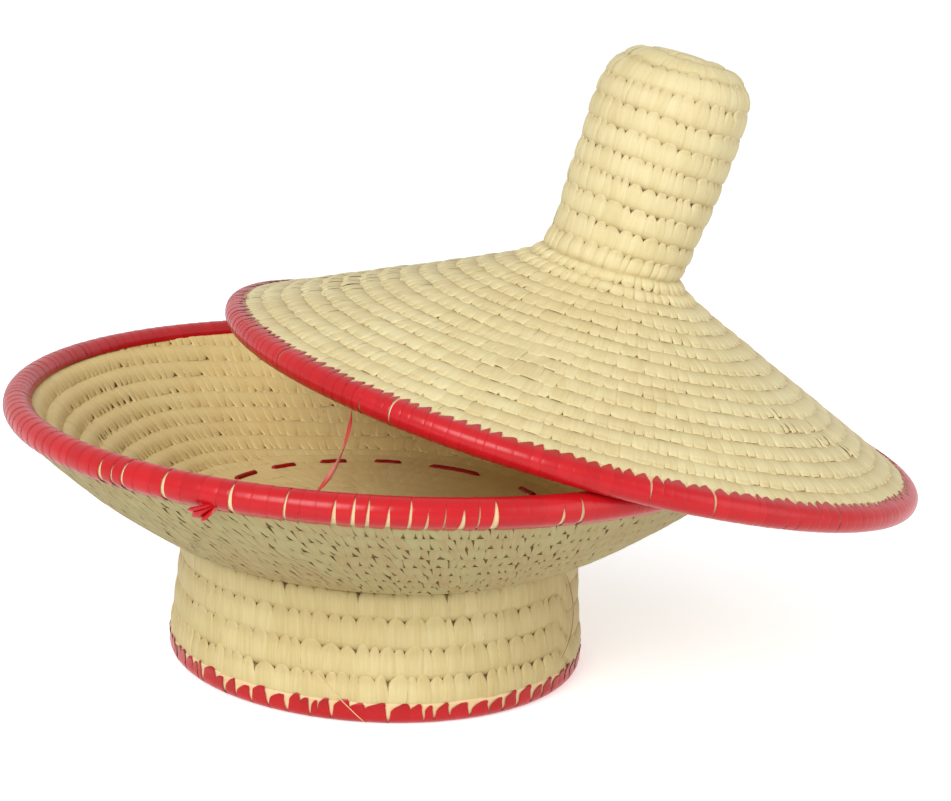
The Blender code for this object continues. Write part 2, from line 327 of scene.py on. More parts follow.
def lay_stitches(coil, face, first, last, stitch, seed):
    """Points, faces and finish values of the strips between two rounds of a coil, on one of its faces.

    Along a strip, 0 is the edge of its round on the side of the tips and 1 is the other edge.
    """
    rng = np.random.default_rng(seed)
    turns, widths = stitch_turns(coil, first, last, stitch, rng)

    def each(low, high):
        return rng.uniform(low, high, turns.shape)

    across = np.array(stitch.across)[None, None, :]
    along = np.array(stitch.along)[None, :, None]
    begin = coil.start(turns)
    middle = begin + 0.5
    flat, opened = spot_shares(stitch, middle, turns * math.tau)
    loose = 1 + 2.0 * np.maximum(flat, opened)
    tip = stitch.tip * (1 + each(-1, 1) * stitch.tip_spread * loose)
    tip = tip + stitch.skew * each(-0.4, 1.0) * across
    into = along * (1 + tip + stitch.tail) - tip

    narrow = 1 - np.clip((into + tip) / (stitch.arch * each(0.8, 1.2)), 0, 1)
    tip_width = stitch.tip_width + each(-1, 1) * stitch.end_spread
    share = 1 - (1 - tip_width) * narrow ** stitch.arch_power
    near_gap = 1 - smooth(into / stitch.gap_reach)
    gap = (each(0, 1) < stitch.gap_chance) * stitch.gap * each(0.6, 1.4) * near_gap
    share = share * (1 - opened * each(0.3, 0.9) * near_gap)
    slant = stitch.slant + each(-1, 1) * stitch.slant_spread * loose
    wide = widths * (1 + stitch.overlap * 2 + 0.25 * flat)
    aside = (across * (1 - gap) - gap) * wide / 2 * share + slant * (into - 0.5) * coil.half(middle) * 2

    def rounds_from(start):
        return np.clip(start + (1 - into if stitch.outward else into), 0.0, coil.count)

    centre = coil.radius(middle)
    radius = centre + (coil.radius(rounds_from(begin)) - centre) * smooth(centre / wedge_radius)
    angle = turns * math.tau + aside / np.maximum(radius, wide * 0.7)
    rounds = rounds_from(coil.start(angle / math.tau))
    near_tip = 1 - smooth(into / stitch.fade)
    rises = relief(np.where(into < 0, into + 1, into), stitch.crest, stitch.fullness)
    rises = flattened(np.where(into < 0.5, np.maximum(rises, stitch.bridge), rises), flat)
    height = coil.half(rounds) - stitch.groove * (1 - rises)
    height = height + stitch.lift * near_tip + stitch.lap * across
    fall_off = stitch.far_edge + (stitch.edge - stitch.far_edge) * near_tip
    height = height - fall_off * np.abs(across) ** edge_power
    height = height + each(-1, 1) * stitch.spread * loose
    bent = 1 - flat_ends * flat
    tip_bend = 1 - smooth(along / tip_end)
    ends = stitch.dip * tip_bend + stitch.tuck * smooth((into - tuck_start) / tuck_span)
    height = height - ends * bent
    height = height - (stitch.sink + tip_press * near_tip * bent) * (np.abs(across) > very_edge)
    points = coil.place(rounds, angle, height * face, stitch.drift, stitch.swell)

    strip = over_points(points, across * widths / 2, into * coil.half(middle) * grain_length, each(0, 1))
    # Painted highlight along a strip's edges near its tip and at the tip's end
    edge_highlight = np.maximum(np.abs(across) ** 6 * near_tip, tip_bend)
    # Painted shade, darker towards the grooves and at a strip's far end, where it goes under other tips; the
    # stain where the stitching is flat is the leaf's own colour
    dark = smooth((into - (1 - shaded_end)) / shaded_end)
    shade = np.maximum(1 - rises, dark) * (1 - flat_share * flat)
    shade = shade + stitch.far_end_shade * into + stitch.stain * flat
    lay = over_points(points, each(0, 1), edge_highlight, shade)
    return points, grid_faces(points, -face if stitch.outward else face), strip, lay


def over_points(points, *values):
    """Three values for each of the points."""
    full = np.ones(points.shape[:-1])
    return np.stack([value * full for value in values], axis=-1)


def grid_faces(points, face=1):
    """Four-cornered faces of several grids of points that follow one another."""
    count, rows, columns = points.shape[:3]
    corner = np.arange(rows - 1)[:, None] * columns + np.arange(columns - 1)[None, :]
    corner = corner.reshape(-1)
    quad = np.stack([corner, corner + columns, corner + columns + 1, corner + 1], axis=1)
    if face < 0:
        quad = quad[:, ::-1]
    starts = np.arange(count)[:, None, None] * (rows * columns)
    return (starts + quad[None]).reshape(-1, 4)


def joined(shapes):
    """Several shapes as one."""
    points, faces, strip, lay, count = [], [], [], [], 0
    for shape in shapes:
        points.append(shape[0].reshape(-1, 3))
        faces.append(shape[1] + count)
        strip.append(shape[2].reshape(-1, 3))
        lay.append(shape[3].reshape(-1, 3))
        count += len(points[-1])
    return tuple(np.concatenate(part) for part in (points, faces, strip, lay))


def laid(coil, face, *stretches):
    """The strips on one face of a coil. Each stretch is (first round, last round, stitch, seed)."""
    return joined([lay_stitches(coil, face, *stretch) for stretch in stretches])


def packed_grass(coil, first, last, outer, inner, depths, steps=90, samples=8):
    """The bundle inside some rounds of a coil: it swells and dips with them, below their stitches."""
    rounds = np.linspace(first, last, (last - first) * samples + 1)[None, :]
    angles = np.linspace(0.0, math.tau, steps + 1)[:, None]
    into = (rounds - coil.start(angles / math.tau)) % 1.0
    points, shade = [], []
    for stitch, depth, face in ((outer, depths[0], 1), (inner, depths[1], -1)):
        rises = relief(1 - into if stitch.outward else into, stitch.crest, stitch.fullness)
        rises = flattened(rises, spot_shares(stitch, rounds, angles)[0])
        height = coil.half(rounds) - depth - stitch.groove * (1 - rises)
        points.append(coil.place(rounds, angles, height * face, stitch.drift, stitch.swell)[:, ::face])
        # How much painted shade the grass takes, most in the grooves
        shade.append((1 - rises)[:, ::face])
    points = np.concatenate(points + [points[0][:, :1]], axis=1)
    shade = np.concatenate(shade + [shade[0][:, :1]], axis=1)
    return points, grid_faces(points[None]), points, over_points(points, 0.0, 0.0, shade)


# Leaf wound over the edges, and loose leaf

def round_section(roll, outer_leg, outer_face, inner_leg, inner_face):
    """Outline over a roll, from a leg on the outer face to one on the inner face.

    Each point is (distance into the wall, distance to its outer side) from the roll's middle.
    """
    section = [(outer_leg, outer_face), (outer_leg * 0.6 + roll * 0.2, outer_face)]
    for degrees in (70, 100, 135, 180, 225, 260, 290):
        angle = math.radians(degrees)
        section.append((roll * math.cos(angle), roll * math.sin(angle)))
    return section + [(inner_leg * 0.6 + roll * 0.2, -inner_face), (inner_leg, -inner_face)]


class Wrap:
    """How the leaf wound over one edge lies. Shares are of a strip's length or of its width."""

    uneven = 0.25
    overlap = 0.25
    slant = 0.0012          # how far a strip moves along the edge from end to end
    slant_spread = 0.0012
    tooth = 0.10            # the outer end that narrows
    tooth_width = 0.10
    tooth_power = 0.8
    tooth_lean = 0.35
    reach_spread = 0.04
    split = 0.10            # the share of the slits between strips that gape
    gape = 0.45             # how wide they gape, and how far from the end
    gape_reach = 0.45
    inner_gape = 0.0        # the share of them that gape at the inner end
    split_spots = ()        # (degrees, reach in degrees, added share)
    lap = 0.00002
    tilt = 0.00005          # how far one side of a strip may stand above the other
    crease = 0.00003
    sink = 0.00005
    floor = None            # nothing lies lower than this
    across = (-1.0, -0.9, -0.45, 0.0, 0.45, 0.9, 1.0)
    rows = 24

    def __init__(self, width, **changes):
        self.width = width
        vars(self).update(changes)


def wind_leaf(middle, into, section, wrap, seed):
    """Points, faces and finish values of leaf wound along a round edge."""
    rng = np.random.default_rng(seed)
    middle, into = np.array(middle), np.array(into) / np.linalg.norm(into)
    out = np.array([into[1], -into[0]])
    if out[0] < 0:
        out = -out
    line = eased([middle + into * a + out * b for a, b in section])
    length = run_along(steps_of(line))
    side = left_of(headings(line))
    if (side[len(side) // 2] * (line[len(side) // 2] - middle)).sum() < 0:
        side = -side

    widths = []
    while sum(widths) < math.tau * middle[0]:
        widths.append(wrap.width * (1 + wrap.uneven * rng.uniform(-1, 1)))
    widths = np.array(widths) * math.tau * middle[0] / sum(widths)
    centres = (np.cumsum(widths) - widths / 2) / middle[0]
    widths, centres = widths[:, None, None], centres[:, None, None]
    across = np.array(wrap.across)[None, None, :]
    along = (np.linspace(0, 1, wrap.rows) ** 1.15)[None, :, None]

    def each(low, high):
        return rng.uniform(low, high, widths.shape)

    def beside(values):
        """The value of the slit on the side of the strip where a point lies."""
        return np.where(across > 0, values, np.roll(values, 1, axis=0))

    def read(column):
        return np.interp(run, length, column)

    reach = each(0, wrap.reach_spread)
    run = (reach + along * (1 - reach)) * length[-1]
    chance = wrap.split
    for degrees, wide, added in wrap.split_spots:
        chance = chance + added * np.exp(-turn_from(centres, degrees, wide) ** 4)
    gape = beside((each(0, 1) < chance) * wrap.gape * each(0.5, 1.0))
    retreat = (gape > 0) * (gape + wrap.overlap) / (1 + wrap.overlap)
    from_end = np.where(beside(each(0, 1) < wrap.inner_gape), 1 - along, along)
    open_share = np.clip(1 - from_end / beside(wrap.gape_reach * each(0.7, 1.2)), 0, 1) ** 0.6
    tooth = np.clip(along / (wrap.tooth * each(0.7, 1.3)), 0, 1)
    share = wrap.tooth_width + (1 - wrap.tooth_width) * tooth ** wrap.tooth_power
    share = share * (1 - retreat * open_share)
    lean = wrap.tooth_lean * widths * (1 - tooth) ** 1.5
    slant = (wrap.slant + each(-1, 1) * wrap.slant_spread) * (along - 0.5)
    aside = across * widths * (1 + wrap.overlap) / 2 * share + lean + slant
    height = (wrap.lap + each(-1, 1) * wrap.tilt) * across - wrap.sink * (np.abs(across) > very_edge)
    height = height + np.sin(along * each(8, 22) + across * each(1, 4) + each(0, 6)) * wrap.crease * 0.7
    height = height - outer_press * (1 - smooth(along / outer_end))
    height = height - inner_press * smooth((along - (1 - inner_end)) / inner_end)

    radius = read(line[:, 0]) + read(side[:, 0]) * height
    up = read(line[:, 1]) + read(side[:, 1]) * height
    if wrap.floor is not None:
        up = np.maximum(up, wrap.floor)
    angle = centres + aside / radius
    points = np.stack([radius * np.cos(angle), radius * np.sin(angle), up], axis=-1)
    strip = over_points(points, across * widths / 2, run, each(0, 1))
    # Painted highlight along a strip's edges and outer end, and painted shade at its outer end and over its
    # first part
    edge_highlight = np.maximum(np.abs(across) ** 8, 1 - smooth(along / 0.04))
    shade = np.maximum((1 - smooth(along / 0.30)) * 0.6, 1 - smooth(along / 0.05))
    return points, grid_faces(points), strip, over_points(points, each(0, 1), edge_highlight, shade)


def lay_ribbon(route, width, thick, twist=0.0, upward=(0.0, 0.0, 1.0), ends=0.15, sides=8):
    """One loose strip along a route, flat against what lies below it and narrowed at both ends."""
    line = eased(route)
    length = run_along(steps_of(line))[:, None]
    share = length / length[-1]
    ahead = headings(line)
    aside = np.cross(np.broadcast_to(upward, ahead.shape), ahead)
    aside /= np.linalg.norm(aside, axis=1)[:, None]
    above = np.cross(ahead, aside)
    angle = np.linspace(0.0, math.tau, sides + 1)[None, :]
    taper = np.sqrt(smooth(np.minimum(share, 1 - share) / ends)) * 0.94 + 0.06
    flat, tall = width / 2 * np.cos(angle) * taper, thick / 2 * np.sin(angle) * taper
    turned = twist * share
    x, y = flat * np.cos(turned) - tall * np.sin(turned), flat * np.sin(turned) + tall * np.cos(turned)
    points = line[:, None, :] + aside[:, None, :] * x[..., None] + above[:, None, :] * y[..., None]
    lay = over_points(points, 0.5 + 0.5 * np.sin(9 * share), 0.0, 0.0)
    return points, grid_faces(points[None]), over_points(points, x, length, 0.0), lay


# Pieces

def make_piece(name, shape, finish, place, body, bent=None):
    """A mesh piece from points, faces and finish values, set in its place."""
    points, faces, strip, lay = shape
    points = points.reshape(-1, 3)
    if bent:
        points = bent(points)
    turn = np.array(place.to_3x3())
    points = points @ turn.T + np.array(place.translation)
    mesh = bpy.data.meshes.new(name)
    mesh.from_pydata(points.tolist(), [], faces.tolist())
    mesh.shade_smooth()
    for attribute, values in (("strip", strip), ("lay", lay)):
        layer = mesh.attributes.new(attribute, "FLOAT_VECTOR", "POINT")
        layer.data.foreach_set("vector", np.asarray(values, np.float32).reshape(-1))
    mesh.materials.append(finish)
    piece = bpy.data.objects.new(name, mesh)
    bpy.context.scene.collection.objects.link(piece)
    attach(piece, body)
    return piece


def lean_handle(points):
    """Where points of an upright handle lie once it leans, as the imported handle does."""
    rise = np.clip(points[:, 2] - handle_base, 0.0, None)
    bent = np.minimum(rise, handle_bend)
    straight = rise - bent
    share = bent / handle_bend
    angle = handle_lean * share
    over = handle_step * share + bent * np.sin(angle / 2) + straight * np.sin(angle)
    up = bent * np.cos(angle / 2) + straight * np.cos(angle)
    x = np.where(rise > 0, over + points[:, 0] * np.cos(angle), points[:, 0])
    z = np.where(rise > 0, handle_base + up - points[:, 0] * np.sin(angle), points[:, 2])
    levelled = smooth((points[:, 2] - handle_top + 0.012) / 0.016)
    return np.column_stack([x, points[:, 1], z + crown_level * points[:, 0] * levelled])


def bowl_piece(name, shape, finish, slot):
    """A piece of the bowl or the foot."""
    return make_piece(name, shape, finish, bowl_place, "base")


def lid_piece(name, shape, finish, slot="natural_straw"):
    """A piece of the lid or its handle."""
    return make_piece(name, shape, finish, lid_place, "lid", lean_handle)


# Finishes

def place_node(tree, kind, inputs=None, **settings):
    """Add a node, set it up, and link or fill its inputs."""
    node = tree.nodes.new(kind)
    for name, value in settings.items():
        setattr(node, name, value)
    for name, value in (inputs or {}).items():
        if isinstance(value, bpy.types.NodeSocket):
            tree.links.new(value, node.inputs[name])
        else:
            node.inputs[name].default_value = value
    return node


def worked(tree, operation, first, second):
    return place_node(tree, "ShaderNodeMath", {0: first, 1: second}, operation=operation).outputs[0]


def times(tree, first, second):
    return worked(tree, "MULTIPLY", first, second)


def plus(tree, first, second):
    return worked(tree, "ADD", first, second)


def blended(tree, share, first, second):
    return place_node(tree, "ShaderNodeMix", {0: share, 6: first, 7: second}, data_type="RGBA").outputs[2]


def ranged(tree, value, low, high, to_low=0.0, to_high=1.0):
    inputs = {"Value": value, "From Min": low, "From Max": high, "To Min": to_low, "To Max": to_high}
    return place_node(tree, "ShaderNodeMapRange", inputs).outputs["Result"]


def noise(tree, where, scale, detail, rough=0.5):
    inputs = {"Vector": where, "Scale": scale, "Detail": detail, "Roughness": rough}
    return place_node(tree, "ShaderNodeTexNoise", inputs).outputs["Fac"]


def new_group(name, inputs, outputs):
    """A shader node group with float inputs and outputs, and its two end nodes."""
    group = bpy.data.node_groups.new(name, "ShaderNodeTree")
    for title, default in inputs.items():
        socket = group.interface.new_socket(title, in_out="INPUT", socket_type="NodeSocketFloat")
        socket.default_value = default
    for title in outputs:
        group.interface.new_socket(title, in_out="OUTPUT", socket_type="NodeSocketFloat")
    return group, group.nodes.new("NodeGroupInput").outputs, group.nodes.new("NodeGroupOutput")


def give_out(group, end, **values):
    """Link values to the outputs of a group."""
    for title, value in values.items():
        group.links.new(value, end.inputs[title])


def build_leaf_grain():
    """Veins, tone bands and fine cracks that run along each strip of leaf."""
    inputs = {"Fineness": 1.0, "Crack Amount": 0.3}
    group, given, end = new_group("leaf_grain", inputs, ("Veins", "Bands", "Cracks"))
    strip = place_node(group, "ShaderNodeAttribute", attribute_name="strip").outputs["Vector"]

    def stretched(*scales):
        """The strip's own coordinates, scaled across it, along it and from strip to strip."""
        scaled = place_node(group, "ShaderNodeVectorMath", {0: strip, 1: scales}, operation="MULTIPLY")
        inputs = {0: scaled.outputs[0], "Scale": given["Fineness"]}
        return place_node(group, "ShaderNodeVectorMath", inputs, operation="SCALE").outputs[0]

    veins = noise(group, stretched(2600, 60, 90), 1.0, 3.0, 0.6)
    bands = noise(group, stretched(520, 45, 60), 1.0, 2.0)
    cracks = noise(group, stretched(1500, 110, 140), 1.0, 1.0)
    edge = worked(group, "SUBTRACT", 0.82, times(group, given["Crack Amount"], 0.2))
    over = worked(group, "SUBTRACT", cracks, edge)
    give_out(group, end, Veins=veins, Bands=bands, Cracks=ranged(group, over, 0.0, 0.03))
    return group


def build_leaf_lay():
    """What each strip carries: its own tone, its painted edge highlight, and its painted shade and stain."""
    group, _, end = new_group("leaf_lay", {}, ("Tone", "Edge", "Groove"))
    lay = place_node(group, "ShaderNodeAttribute", attribute_name="lay").outputs["Vector"]
    parts = place_node(group, "ShaderNodeSeparateXYZ", {0: lay}).outputs
    give_out(group, end, Tone=parts["X"], Edge=parts["Y"], Groove=parts["Z"])
    return group


def build_patches():
    """Slow changes of tone over the whole surface, from sun, hands and the dye bath."""
    group, given, end = new_group("patches", {"Size": 22.0}, ("Broad", "Small"))
    where = place_node(group, "ShaderNodeTexCoord").outputs["Object"]
    broad = noise(group, where, given["Size"], 2.0)
    small = noise(group, where, times(group, given["Size"], 5.0), 3.0)
    give_out(group, end, Broad=ranged(group, broad, 0.35, 0.65), Small=ranged(group, small, 0.3, 0.7))
    return group


leaf_grain = build_leaf_grain()
leaf_lay = build_leaf_lay()
patches = build_patches()


def use_group(tree, group, **inputs):
    node = place_node(tree, "ShaderNodeGroup", node_tree=group)
    for name, value in inputs.items():
        node.inputs[name.replace("_", " ")].default_value = value
    return node.outputs


def colour(red, green, blue):
    """A colour given by its screen values from 0 to 255."""
    def straight(value):
        value = value / 255
        return value / 12.92 if value <= 0.04045 else ((value + 0.055) / 1.055) ** 2.4
    return straight(red), straight(green), straight(blue), 1.0


def new_material(name):
    """A material, its node tree and its shader."""
    material = bpy.data.materials.new(name)
    material.use_nodes = True
    tree = material.node_tree
    return material, tree, tree.nodes["Principled BSDF"]


def bump_up(tree, shader, strength, depth, height):
    inputs = {"Strength": strength, "Distance": depth, "Height": height}
    bumped = place_node(tree, "ShaderNodeBump", inputs)
    tree.links.new(bumped.outputs["Normal"], shader.inputs["Normal"])


def leaf_material(name, pale, deep, dirt_and_shade, edge_highlight, rough=0.55, shine=0.35, tone=0.3, veins=0.3,
                  groove=0.35, edge=0.3, cracks=0.1, bump=0.3, fineness=1.0):
    """Palm leaf in tones pale and deep, darkened in cracks and, with painted shade, in grooves, and with
    painted edge highlights.
    """
    material, tree, shader = new_material(name)
    grain = use_group(tree, leaf_grain, Fineness=fineness, Crack_Amount=cracks)
    lying = use_group(tree, leaf_lay)
    patch = use_group(tree, patches)
    share = times(tree, lying["Tone"], tone)
    share = plus(tree, share, ranged(tree, grain["Bands"], 0.35, 0.7, 0.0, veins))
    share = plus(tree, share, times(tree, patch["Broad"], 0.3))
    share = plus(tree, share, ranged(tree, grain["Veins"], 0.35, 0.7, veins * -0.4, veins * 0.7))
    base = blended(tree, share, colour(*pale), colour(*deep))
    # Painted highlight on the edges of strips
    base = blended(tree, times(tree, lying["Edge"], edge), base, colour(*edge_highlight))
    # Painted shade in the grooves and under the tips, with some dirt; it also carries the stain where the
    # stitching is flat
    groove_dirt_and_shade = times(tree, lying["Groove"], groove)
    groove_dirt_and_shade = times(tree, groove_dirt_and_shade, ranged(tree, patch["Small"], 0.0, 1.0, 0.5, 1.2))
    base = blended(tree, groove_dirt_and_shade, base, colour(*dirt_and_shade))
    cracked = times(tree, grain["Cracks"], 0.5)
    base = blended(tree, cracked, base, colour(*dirt_and_shade))
    tree.links.new(base, shader.inputs["Base Color"])
    roughness = ranged(tree, grain["Veins"], 0.3, 0.7, rough - veins * 0.27, rough + veins * 0.33)
    tree.links.new(roughness, shader.inputs["Roughness"])
    shader.inputs["Specular IOR Level"].default_value = shine
    height = plus(tree, times(tree, grain["Bands"], 0.7), times(tree, grain["Veins"], 0.3))
    bump_up(tree, shader, bump, 0.0005, worked(tree, "SUBTRACT", height, cracked))
    return material


def grass_material(name, light, dark):
    """Grass of the bundles inside the coils, with painted shade towards the grooves."""
    material, tree, shader = new_material(name)
    patch = use_group(tree, patches, Size=160.0)
    lying = use_group(tree, leaf_lay)
    # Painted shade towards the grooves, with patches of darker grass
    share = plus(tree, ranged(tree, lying["Groove"], 0.05, 0.5), times(tree, patch["Small"], 0.3))
    tree.links.new(blended(tree, share, colour(*light), colour(*dark)), shader.inputs["Base Color"])
    shader.inputs["Roughness"].default_value = 0.9
    bump_up(tree, shader, 0.6, 0.0006, patch["Small"])
    return material


# Colours for dirt and painted shade in grooves and cracks, for painted shade on the red leaf, and for painted
# highlights on strip edges; in the finishes below, groove sets the painted shade and edge the painted
# highlight
straw_dirt_and_shade = (150, 118, 62)
straw_edge_highlight = (246, 230, 180)
red_shade = (84, 6, 10)
lid_straw = leaf_material(
    "lid_straw", (229, 217, 169), (209, 190, 137), straw_dirt_and_shade, straw_edge_highlight, tone=0.35, groove=0.45, edge=0.35)
handle_straw = leaf_material(
    "handle_straw", (225, 212, 166), (203, 185, 131), straw_dirt_and_shade, straw_edge_highlight, tone=0.25, edge=0.2)
foot_straw = leaf_material(
    "foot_straw", (218, 203, 151), (193, 172, 115), straw_dirt_and_shade, straw_edge_highlight, groove=0.45, cracks=0.2, edge=0.25)
bowl_inside_straw = leaf_material(
    "bowl_inside_straw", (238, 216, 152), (223, 194, 125), (150, 110, 56), straw_edge_highlight, tone=0.25, edge=0.0,
    veins=0.15)
bowl_outside_straw = leaf_material(
    "bowl_outside_straw", (180, 173, 122), (172, 143, 97), (104, 84, 48), (208, 196, 150), rough=0.65,
    tone=0.25, groove=0.1)
lid_inside_straw = leaf_material(
    "lid_inside_straw", (216, 186, 118), (198, 162, 92), (140, 102, 50), straw_edge_highlight, tone=0.25, edge=0.0,
    veins=0.15)
brown_leaf = leaf_material("brown_leaf", (182, 152, 100), (160, 128, 78), (140, 108, 62), straw_edge_highlight, edge=0.0)
cream_leaf = leaf_material("cream_leaf", (240, 214, 168), (232, 196, 146), (200, 150, 100), straw_edge_highlight)
red_leaf = leaf_material(
    "red_leaf", (199, 25, 32), (172, 14, 21), red_shade, (222, 66, 70), rough=0.29, shine=0.29, tone=0.35,
    veins=0.06, groove=0.4, edge=0.0, cracks=0.0, bump=0.08, fineness=0.4)
dark_red_leaf = leaf_material(
    "dark_red_leaf", (172, 26, 20), (140, 14, 12), red_shade, (200, 60, 50), rough=0.45, shine=0.2, edge=0.0,
    cracks=0.0)
pink_leaf = leaf_material(
    "pink_leaf", (232, 160, 148), (196, 64, 60), red_shade, (236, 170, 160), rough=0.5, tone=0.9, cracks=0.0)
lid_grass = grass_material("lid_grass", (196, 170, 114), (132, 104, 60))
bowl_grass = grass_material("bowl_grass", (146, 118, 70), (114, 86, 46))


# The bowl, the foot and the lid as coils

def unit(direction):
    return direction / np.linalg.norm(direction)


rim = np.array([rim_radius, rim_height])
heel = np.array([floor_radius + wall_half, floor_middle])
wall_slope = unit(heel - rim)
wall_out = np.array([-wall_slope[1], wall_slope[0]])    # towards the wall's outer side
lid_rim = np.array([lid_radius, 0.0])
cone_slope = unit(np.array(shoulder) - lid_rim)


def bowl_outline():
    outline = [(0.0, floor_middle, floor_pitch, floor_half),
               (floor_radius - floor_pitch / 2, floor_middle, floor_pitch, floor_half)]
    run = np.linalg.norm(heel - rim)
    for share in (0.97, 0.9, 0.75, 0.6, 0.45, 0.3, 0.15, 0.04):
        spot = rim + wall_slope * run * share + wall_out * (wall_belly * 4 * share * (1 - share))
        outline.append((*spot, wall_pitch, wall_half))
    return outline


def foot_outline():
    line = []
    for share in (0.0, 0.2, 0.4, 0.6, 0.8, 0.95):
        outside = foot_waist + (foot_belly - foot_waist) * share ** 2
        line.append((outside - foot_half, foot_top + (foot_roll * 1.8 - foot_top) * share))
    line += [(foot_radius - 0.0002, foot_roll * 1.9), (foot_radius - 0.0004, foot_roll * 1.1)]
    return [(*spot, foot_pitch, foot_half) for spot in line]


def lid_outline():
    base, waist, head = (radius - handle_half for radius in handle_radii)
    top = handle_top + crown_height - handle_half
    crown = ((0.0, 0.0), (0.5, 0.02), (0.78, 0.16), (0.94, 0.48))
    wall = ((head, handle_top), (head, handle_top * 0.8 + handle_base * 0.2),
            (waist, (handle_top + handle_base) / 2), (base, handle_base + handle_pitch * 0.9))
    outline = [(head * across, top - crown_height * down, crown_pitch, handle_half) for across, down in crown]
    outline += [(*spot, handle_pitch, handle_half) for spot in wall]
    outline += [(base + 0.0004, handle_base, neck_pitch, cone_half),
                (neck[0] + 0.0006, neck[1], neck_pitch, cone_half),
                (shoulder[0] + 0.0015, shoulder[1] - 0.0007, cone_pitch, cone_half)]
    end = lid_rim + cone_slope * lid_roll * 0.75
    for share in (0.3, 0.65, 1.0):
        spot = np.array(shoulder) * (1 - share) + end * share
        outline.append((*spot, cone_pitch, cone_half))
    return outline


bowl_coil = Coil(bowl_outline(), seed=3)
foot_coil = Coil(foot_outline(), seed=5, join=322.0, join_span=10.0)
lid_coil = Coil(lid_outline(), seed=7)

# Points of a strip: along it on the cone and at the bowl's slits, and fewer where less detail shows
cone_along = (0.0, 0.03, 0.08, 0.15, 0.23, 0.32, 0.47, 0.66, 0.86, 1.0)
slit_along = (0.0, 0.05, 0.12, 0.20, 0.30, 0.42, 0.7, 1.0)
few_across = (-1.0, -0.85, -0.3, 0.3, 0.85, 1.0)
coarse = dict(along=(0.0, 0.06, 0.15, 0.28, 0.45, 0.65, 0.85, 1.0), across=few_across)


def build_lid():
    heights = -lid_coil.line[:, 1]
    crown_rounds = round(np.interp(-handle_top, heights, lid_coil.rounds))
    neck_rounds = round(np.interp(-handle_base, heights, lid_coil.rounds))
    rows_end = neck_rounds + 2
    end = lid_coil.count
    cone_spots = (
        (-116, 21.8, 9, 1.8, 1.0, 0.08), (173, 22.3, 9, 2.4, 0.3, 0.6), (-50, 21.9, 5, 1.2, 0.2, 0.75),
        (-41, 23.0, 6, 1.3, 0.2, 0.75), (-32, 24.6, 5, 1.1, 0.2, 0.75), (-70, 16.5, 4, 1.0, 0.1, 0.45))
    # Strips pulled tight, rounds with a full back, and strips whose tips point up or down the lid
    pressed = dict(edge=0.0005, far_edge=0.0005, lap=0.00010, sink=0.00015, tail=0.08, fade=1.0)
    plump = dict(crest=0.46, fullness=3.2)
    upward = dict(tip=0.15, tip_spread=0.5, arch=0.32, end_spread=0.2, skew=0.03, uneven=0.45, swell=0.0005)
    downward = dict(outward=True, tip_spread=0.5, end_spread=0.2, uneven=0.4, lift=0.0002, tuck=0.0003)
    straw = Stitch(
        0.0046, 0.0008, crest=0.24, bridge=0.6, tip=0.13, arch=0.22, tip_width=0.68, skew=0.04, edge=0.00018,
        far_edge=0.00003, lap=0.00004, sink=0.00006, dip=0.0004, fade=0.35, far_end_shade=0.2, gap_chance=0.0,
        gap_reach=1.3, drift=0.09, stain=0.35, along=cone_along, spots=cone_spots, **downward)
    rows = Stitch(
        0.0038, 0.0011, crest=0.4, bridge=0.5, tip=0.14, arch=0.3, tip_width=0.45, skew=0.05, spread=0.00025,
        dip=0.0005, gap_chance=0.1, gap_reach=0.35, **downward, **pressed)
    handle = Stitch(
        0.0044, 0.0012, tip_width=0.35, edge=0.00016, far_edge=0.00010, lap=0.00004, sink=0.00006, fade=0.4,
        gap_chance=0.1, gap_reach=0.3, **plump, **upward)
    collar = Stitch(0.0040, 0.0010, tip_width=0.4, spread=0.00020, tuck=0.0002, **plump, **upward, **pressed)
    button = Stitch(
        0.0044, 0.0006, overlap=0.25, tip=0.05, tip_width=1.0, edge=0.0001, far_edge=0.00004, lap=0.00004,
        sink=0.00004, lift=0.0001, dip=0.0001, gap_chance=0.0, **plump)
    inner = Stitch(0.0068, 0.0012, edge=0.0002, **coarse)

    strips = laid(lid_coil, 1, (neck_rounds, rows_end, rows, 10), (rows_end, end, straw, 11))
    cone = lid_piece("lid_cone_stitches", strips, lid_straw)
    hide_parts("lid_cone")
    lowest = neck_rounds - 1
    strips = laid(lid_coil, 1, (crown_rounds, lowest, handle, 12), (lowest, neck_rounds, collar, 15))
    wall = lid_piece("handle_stitches", strips, handle_straw)
    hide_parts("handle_wall")
    strips = laid(lid_coil, 1, (0, 1, button, 16), (1, crown_rounds, handle, 13))
    cap = lid_piece("handle_cap_stitches", strips, handle_straw)
    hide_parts("handle_cap")
    strips = laid(lid_coil, -1, (crown_rounds - 2, end, inner, 14))
    lid_piece("lid_inside_stitches", strips, lid_inside_straw)
    bundles = [packed_grass(lid_coil, 0, rows_end, handle, inner, (0.0010, 0.0010)),
               packed_grass(lid_coil, rows_end, end, straw, inner, (0.0005, 0.0010))]
    lid_piece("lid_coil_grass", joined(bundles), lid_grass, "core_grass")


